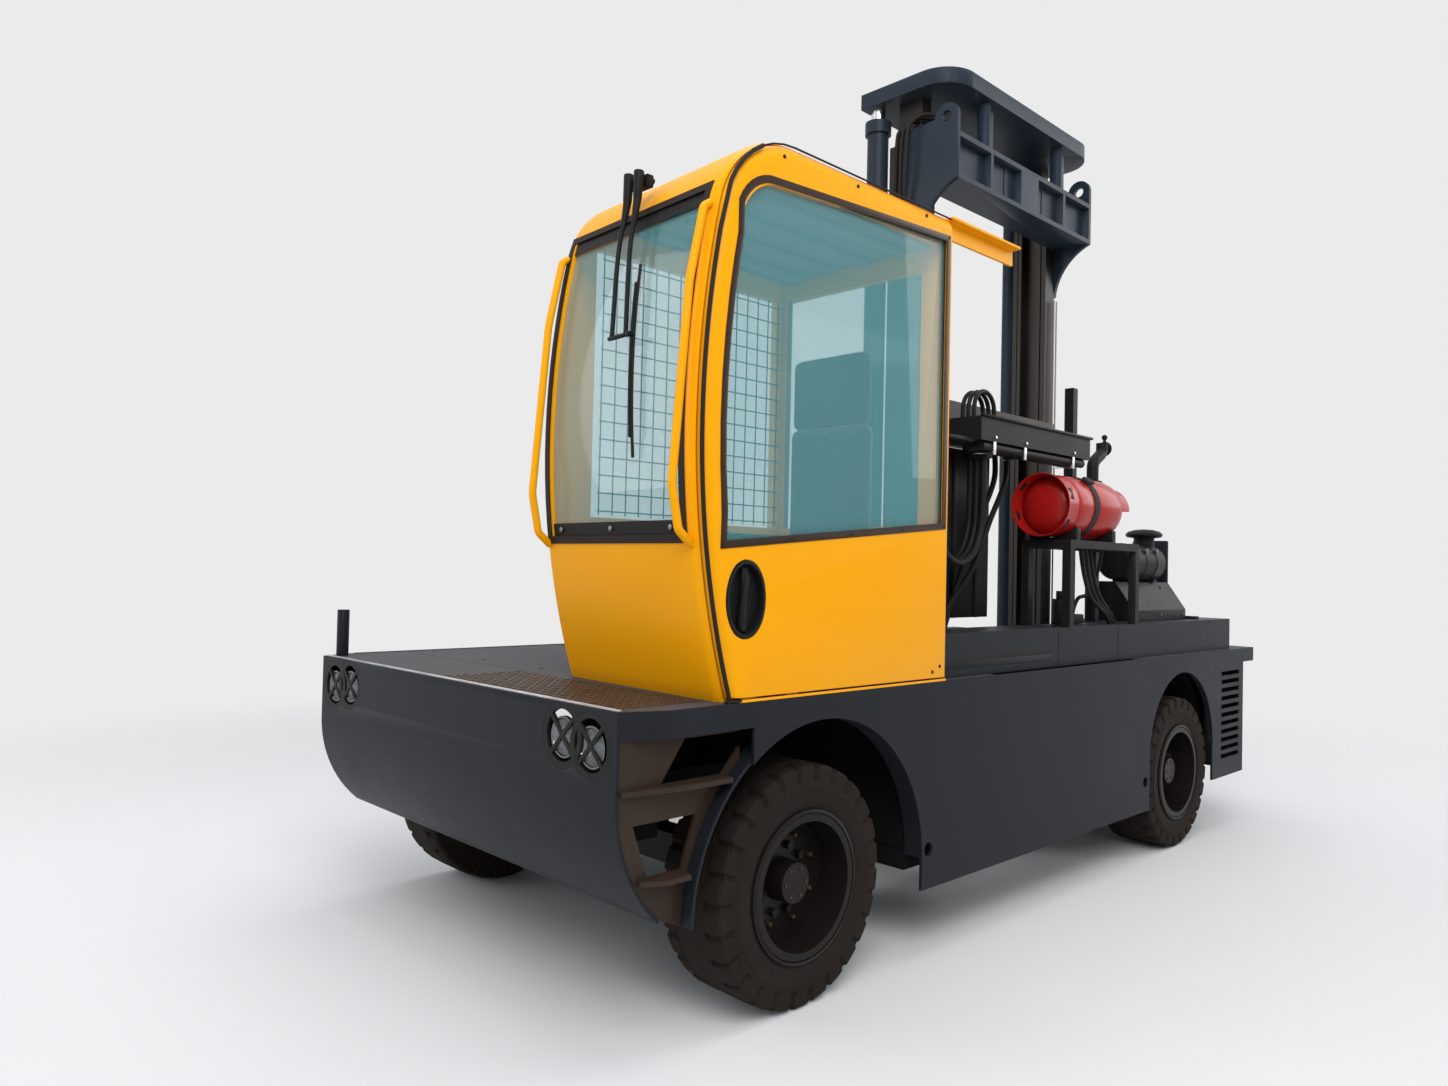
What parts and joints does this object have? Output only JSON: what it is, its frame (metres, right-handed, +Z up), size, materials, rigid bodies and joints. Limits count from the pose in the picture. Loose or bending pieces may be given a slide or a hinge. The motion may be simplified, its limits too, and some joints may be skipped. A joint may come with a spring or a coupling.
{
  "type": "side loader forklift",
  "caption": "Four-wheel side loader forklift with an enclosed cab at one front corner, load decks and a reaching two-stage mast in a side well.",
  "frame": {"origin": "on the floor under the middle of the machine's outline", "axes": "+X is the driving direction, +Y is the cab side, +Z is up; the forks point to -Y"},
  "size_m": [5.116, 2.24, 3.8703],
  "materials": {
    "cab_yellow": "satin yellow-orange paint",
    "chassis_grey": "satin anthracite paint",
    "mast_grey": "satin slate blue-grey paint",
    "gas_red": "gloss red paint",
    "rim_black": "gloss black paint",
    "tyre_rubber": "matte solid rubber",
    "clear_glass": "green tinted glass",
    "lamp_glass": "clear lamp glass",
    "seat_fabric": "black seat cloth",
    "dark_metal": "satin black paint",
    "engine_iron": "plain casting",
    "hard_chrome": "polished rod",
    "black_plastic": "moulded black",
    "pipe_steel": "dark steel"
  },
  "bodies": {
    "chassis": {"skirt_near": "chassis_grey", "skirt_far_front": "chassis_grey", "skirt_far_rear": "chassis_grey", "bumper_front": "chassis_grey", "entry_steps": "chassis_grey", "deck_front": "chassis_grey", "deck_rear": "chassis_grey", "corner_post": "chassis_grey", "chassis_frame": "chassis_grey", "rear_panel": "chassis_grey", "rear_grille": "chassis_grey", "side_cover_front": "chassis_grey", "side_cover_rear": "chassis_grey", "engine_block": "engine_iron", "lamp_guards": "dark_metal", "headlamps": "lamp_glass", "front_axle": "dark_metal", "rear_axle": "dark_metal", "cab_shell": "cab_yellow", "cab_roof": "cab_yellow", "windscreen": "clear_glass", "cab_glass": "clear_glass", "door_rail": "cab_yellow", "seat_base": "dark_metal", "seat_cushion": "seat_fabric", "seat_back": "seat_fabric", "steering_column": "black_plastic", "gas_bottle": "gas_red", "gas_frame": "dark_metal", "air_box": "dark_metal", "air_filter": "black_plastic", "exhaust_pipe": "dark_metal", "square_post": "chassis_grey", "grab_rails": "cab_yellow"},
    "door": {"door_panel": "cab_yellow", "door_glass": "clear_glass", "door_handle": "black_plastic"},
    "hatch": {"service_hatch": "chassis_grey"},
    "steer_near": {"knuckle_near": "dark_metal"},
    "steer_far": {"knuckle_far": "dark_metal"},
    "wheel_front_near": {"tyre_front_near": "tyre_rubber", "rim_front_near": "rim_black"},
    "wheel_front_far": {"tyre_front_far": "tyre_rubber", "rim_front_far": "rim_black"},
    "wheel_rear_near": {"tyre_rear_near": "tyre_rubber", "rim_rear_near": "rim_black"},
    "wheel_rear_far": {"tyre_rear_far": "tyre_rubber", "rim_rear_far": "rim_black"},
    "carriage": {"reach_carriage": "mast_grey"},
    "outer_mast": {"outer_uprights": "mast_grey", "mast_crossbeam": "mast_grey", "lift_cylinders": "mast_grey", "hose_tray": "black_plastic", "mast_pipes": "pipe_steel"},
    "inner_mast": {"inner_uprights": "mast_grey", "top_plate": "mast_grey", "lift_rods": "hard_chrome"},
    "fork_frame": {"fork_carriage": "mast_grey", "forks": "mast_grey"}
  },
  "joints": [
    {"name": "steer_near", "type": "hinge", "parent": "chassis", "child": "steer_near", "pos_m": [1.74, 0.88, 0.42], "axis": [0, 0, 1], "range_deg": [-40, 40]},
    {"name": "steer_far", "type": "hinge", "parent": "chassis", "child": "steer_far", "pos_m": [1.74, -0.88, 0.42], "axis": [0, 0, 1], "range_deg": [-40, 40]},
    {"name": "spin_front_near", "type": "hinge", "parent": "steer_near", "child": "wheel_front_near", "pos_m": [1.74, 0.95, 0.42], "axis": [0, 1, 0], "continuous": true},
    {"name": "spin_front_far", "type": "hinge", "parent": "steer_far", "child": "wheel_front_far", "pos_m": [1.74, -0.95, 0.42], "axis": [0, 1, 0], "continuous": true},
    {"name": "spin_rear_near", "type": "hinge", "parent": "chassis", "child": "wheel_rear_near", "pos_m": [-1.446, 0.95, 0.42], "axis": [0, 1, 0], "continuous": true},
    {"name": "spin_rear_far", "type": "hinge", "parent": "chassis", "child": "wheel_rear_far", "pos_m": [-1.446, -0.95, 0.42], "axis": [0, 1, 0], "continuous": true},
    {"name": "door_slide", "type": "slide", "parent": "chassis", "child": "door", "axis": [-1, 0, 0], "range_m": [0, 0.85]},
    {"name": "hatch_hinge", "type": "hinge", "parent": "chassis", "child": "hatch", "pos_m": [-1.908, 0.859, 1.28], "axis": [0, 1, 0], "range_deg": [0, 75]},
    {"name": "reach", "type": "slide", "parent": "chassis", "child": "carriage", "axis": [0, -1, 0], "range_m": [0, 1.4]},
    {"name": "mast_tilt", "type": "hinge", "parent": "carriage", "child": "outer_mast", "pos_m": [-0.175, 0.53, 0.41], "axis": [1, 0, 0], "range_deg": [-2, 4]},
    {"name": "lift", "type": "slide", "parent": "outer_mast", "child": "inner_mast", "axis": [0, 0, 1], "range_m": [0, 2.3]},
    {"name": "fork_lift", "type": "slide", "parent": "inner_mast", "child": "fork_frame", "axis": [0, 0, 1], "range_m": [0, 2.3]}
  ],
  "couplings": [
    {"joint": "steer_far", "follows": "steer_near", "ratio": 1},
    {"joint": "fork_lift", "follows": "lift", "ratio": 1}
  ]
}
